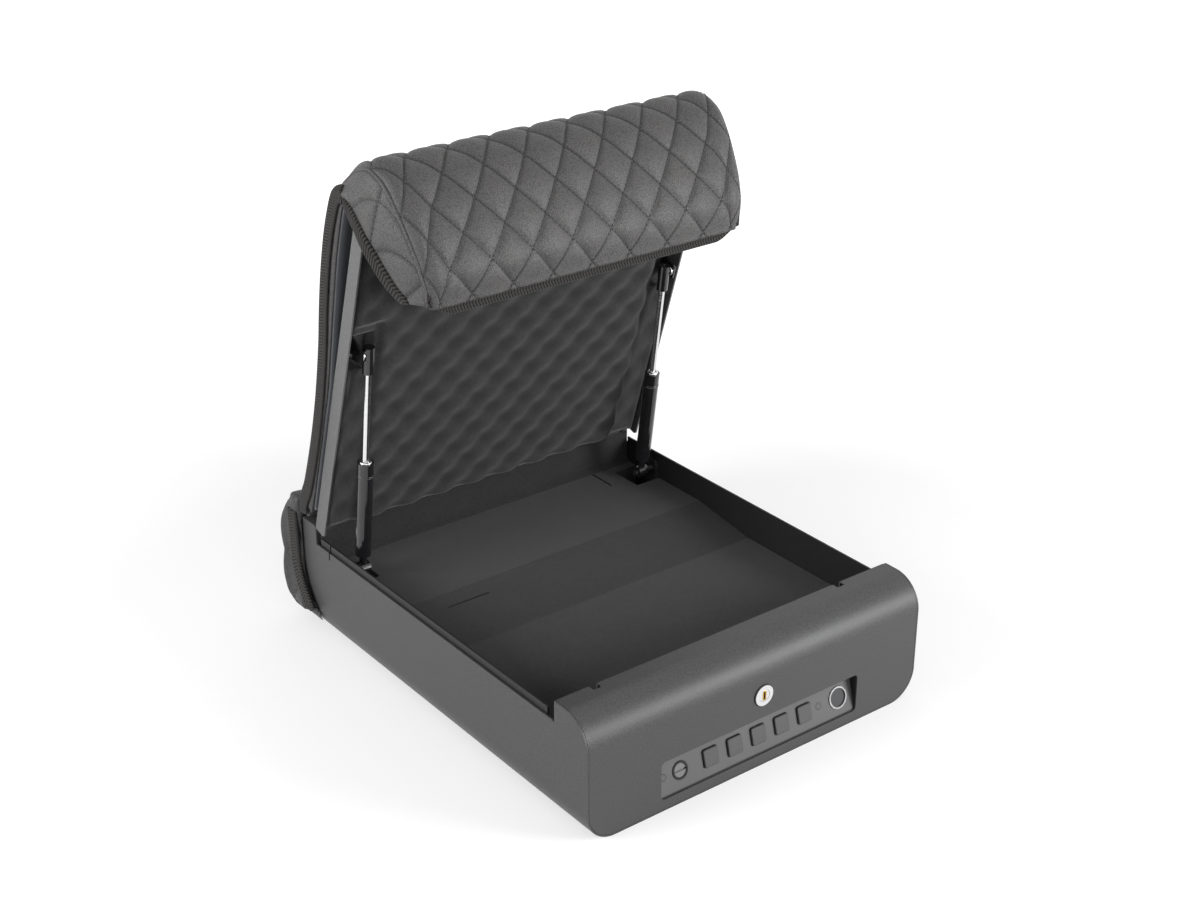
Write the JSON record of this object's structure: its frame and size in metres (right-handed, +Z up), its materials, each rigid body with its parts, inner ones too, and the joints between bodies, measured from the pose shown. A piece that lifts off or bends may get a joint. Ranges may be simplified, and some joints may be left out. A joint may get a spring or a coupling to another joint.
{
  "type": "portable car safe",
  "caption": "low steel box safe with a lid on gas struts, a leaning keypad and fingerprint panel, key lock, foam lining and a quilted slip cover with a folding front hood",
  "frame": {"origin": "centre of the flat underside of the steel body, on the surface it stands on", "axes": "+X to the right seen from the keypad front, +Y from the front to the hinge side, +Z up"},
  "size_m": [0.386, 0.4786, 0.5019],
  "materials": {
    "powder_coat": "fine textured dark grey powder coat",
    "panel_plastic": "satin grey moulded plastic",
    "felt_foam": "dark grey felt-faced foam",
    "quilted_leather": "pebble-grained grey-black imitation leather, quilted",
    "webbing": "herringbone webbing, brown-black",
    "lining": "smooth bluish dark lining",
    "strut_black": "gloss black enamel",
    "bright_steel": "bright plated steel",
    "zinc": "zinc plated steel",
    "sensor_glass": "gloss black reader window",
    "brass": "machined brass",
    "black_rubber": "matt black rubber",
    "board": "green circuit board",
    "black_plastic": "matt black plastic"
  },
  "bodies": {
    "base": {"base_shell": "powder_coat", "front_fascia": "powder_coat", "front_bulkhead": "powder_coat", "rear_panel": "powder_coat", "rear_bulkhead": "powder_coat", "side_liner_left": "powder_coat", "side_liner_right": "powder_coat", "floor_foam": "felt_foam", "hinge_leaf_base": "zinc", "hinge_pin": "zinc", "strut_bracket_base_left": "strut_black", "strut_bracket_base_right": "strut_black", "keypad_housing": "panel_plastic", "keypad_board": "board", "button_mat": "black_rubber", "cap_bezel": "panel_plastic", "fingerprint_ring": "bright_steel", "fingerprint_pad": "sensor_glass", "light_window_left": "panel_plastic", "light_window_right": "panel_plastic", "lock_barrel": "bright_steel", "lock_nut": "zinc", "latch_motor": "zinc", "latch_guide_left": "panel_plastic", "latch_guide_right": "panel_plastic", "battery_case": "black_plastic", "rear_bolster": "quilted_leather", "rear_binding_left": "webbing", "rear_binding_right": "webbing"},
    "lid": {"lid_pan": "powder_coat", "hinge_leaf_lid": "zinc", "lid_foam": "felt_foam", "striker_left": "zinc", "striker_right": "zinc", "strut_bracket_lid_left": "strut_black", "strut_bracket_lid_right": "strut_black", "lid_cushion": "quilted_leather", "cover_lining": "lining", "lid_binding_left": "webbing", "lid_binding_right": "webbing"},
    "hood": {"hood_panel": "quilted_leather", "hood_hem_binding": "webbing", "hood_gusset_left": "quilted_leather", "hood_gusset_right": "quilted_leather"},
    "strut_tube_left": {"strut_tube_left": "strut_black"},
    "strut_rod_left": {"strut_rod_left": "bright_steel", "strut_socket_left": "strut_black"},
    "strut_tube_right": {"strut_tube_right": "strut_black"},
    "strut_rod_right": {"strut_rod_right": "bright_steel", "strut_socket_right": "strut_black"},
    "button_1": {"button_1": "panel_plastic"},
    "button_2": {"button_2": "panel_plastic"},
    "button_3": {"button_3": "panel_plastic"},
    "button_4": {"button_4": "panel_plastic"},
    "button_5": {"button_5": "panel_plastic"},
    "coin_slot_cap": {"coin_slot_cap": "zinc"},
    "lock_plug": {"lock_plug": "brass", "lock_cam": "zinc"},
    "latch_slide": {"latch_slide": "zinc"},
    "latch_pinion": {"latch_pinion": "brass"}
  },
  "joints": [
    {"name": "lid_hinge", "type": "hinge", "parent": "base", "child": "lid", "pos_m": [0, 0.1928, 0.1155], "axis": [1, 0, 0], "range_deg": [0, 72.5], "stiffness_Nm_per_rad": 6, "springref_deg": -34.38},
    {"name": "hood_fold", "type": "hinge", "parent": "lid", "child": "hood", "pos_m": [0, 0.11231, 0.47388], "axis": [-1, 0, 0], "range_deg": [0, 56.05], "deforming": ["hood_gusset_left", "hood_gusset_right"]},
    {"name": "strut_left_pivot", "type": "hinge", "parent": "base", "child": "strut_tube_left", "pos_m": [-0.167, 0.1442, 0.088], "axis": [1, 0, 0], "range_deg": [0, 78.4]},
    {"name": "strut_left_stroke", "type": "slide", "parent": "strut_tube_left", "child": "strut_rod_left", "axis": [0, 0.1408, -0.99], "range_m": [0, 0.0635]},
    {"name": "strut_right_pivot", "type": "hinge", "parent": "base", "child": "strut_tube_right", "pos_m": [0.167, 0.1442, 0.088], "axis": [1, 0, 0], "range_deg": [0, 78.4]},
    {"name": "strut_right_stroke", "type": "slide", "parent": "strut_tube_right", "child": "strut_rod_right", "axis": [0, 0.1408, -0.99], "range_m": [0, 0.0635]},
    {"name": "press_button_1", "type": "slide", "parent": "base", "child": "button_1", "axis": [0, 0.9663, -0.2575], "range_m": [0, 0.001], "stiffness_N_per_m": 400, "springref_m": -0.0005},
    {"name": "press_button_2", "type": "slide", "parent": "base", "child": "button_2", "axis": [0, 0.9663, -0.2575], "range_m": [0, 0.001], "stiffness_N_per_m": 400, "springref_m": -0.0005},
    {"name": "press_button_3", "type": "slide", "parent": "base", "child": "button_3", "axis": [0, 0.9663, -0.2575], "range_m": [0, 0.001], "stiffness_N_per_m": 400, "springref_m": -0.0005},
    {"name": "press_button_4", "type": "slide", "parent": "base", "child": "button_4", "axis": [0, 0.9663, -0.2575], "range_m": [0, 0.001], "stiffness_N_per_m": 400, "springref_m": -0.0005},
    {"name": "press_button_5", "type": "slide", "parent": "base", "child": "button_5", "axis": [0, 0.9663, -0.2575], "range_m": [0, 0.001], "stiffness_N_per_m": 400, "springref_m": -0.0005},
    {"name": "coin_cap_turn", "type": "hinge", "parent": "base", "child": "coin_slot_cap", "pos_m": [-0.0849, -0.22357, 0.0282], "axis": [0, 0.9663, -0.2575], "range_deg": [0, 90]},
    {"name": "key_turn", "type": "hinge", "parent": "base", "child": "lock_plug", "pos_m": [0.001, -0.21, 0.0722], "axis": [0, 1, 0], "range_deg": [0, 90]},
    {"name": "latch_travel", "type": "slide", "parent": "base", "child": "latch_slide", "axis": [1, 0, 0], "range_m": [0, 0.00848]},
    {"name": "pinion_spin", "type": "hinge", "parent": "base", "child": "latch_pinion", "pos_m": [-0.06, -0.2, 0.081], "axis": [0, 1, 0], "range_deg": [0, 81.1]}
  ],
  "couplings": [
    {"joint": "hood_fold", "follows": "lid_hinge", "ratio": 0.77241},
    {"joint": "strut_left_pivot", "follows": "lid_hinge", "ratio": 1.0801},
    {"joint": "strut_left_stroke", "follows": "lid_hinge", "m_per_rad": 0.04977},
    {"joint": "strut_right_pivot", "follows": "lid_hinge", "ratio": 1.0801},
    {"joint": "strut_right_stroke", "follows": "lid_hinge", "m_per_rad": 0.04977},
    {"joint": "key_turn", "follows": "latch_travel", "rad_per_m": 185.12},
    {"joint": "pinion_spin", "follows": "latch_travel", "rad_per_m": 166.67}
  ]
}
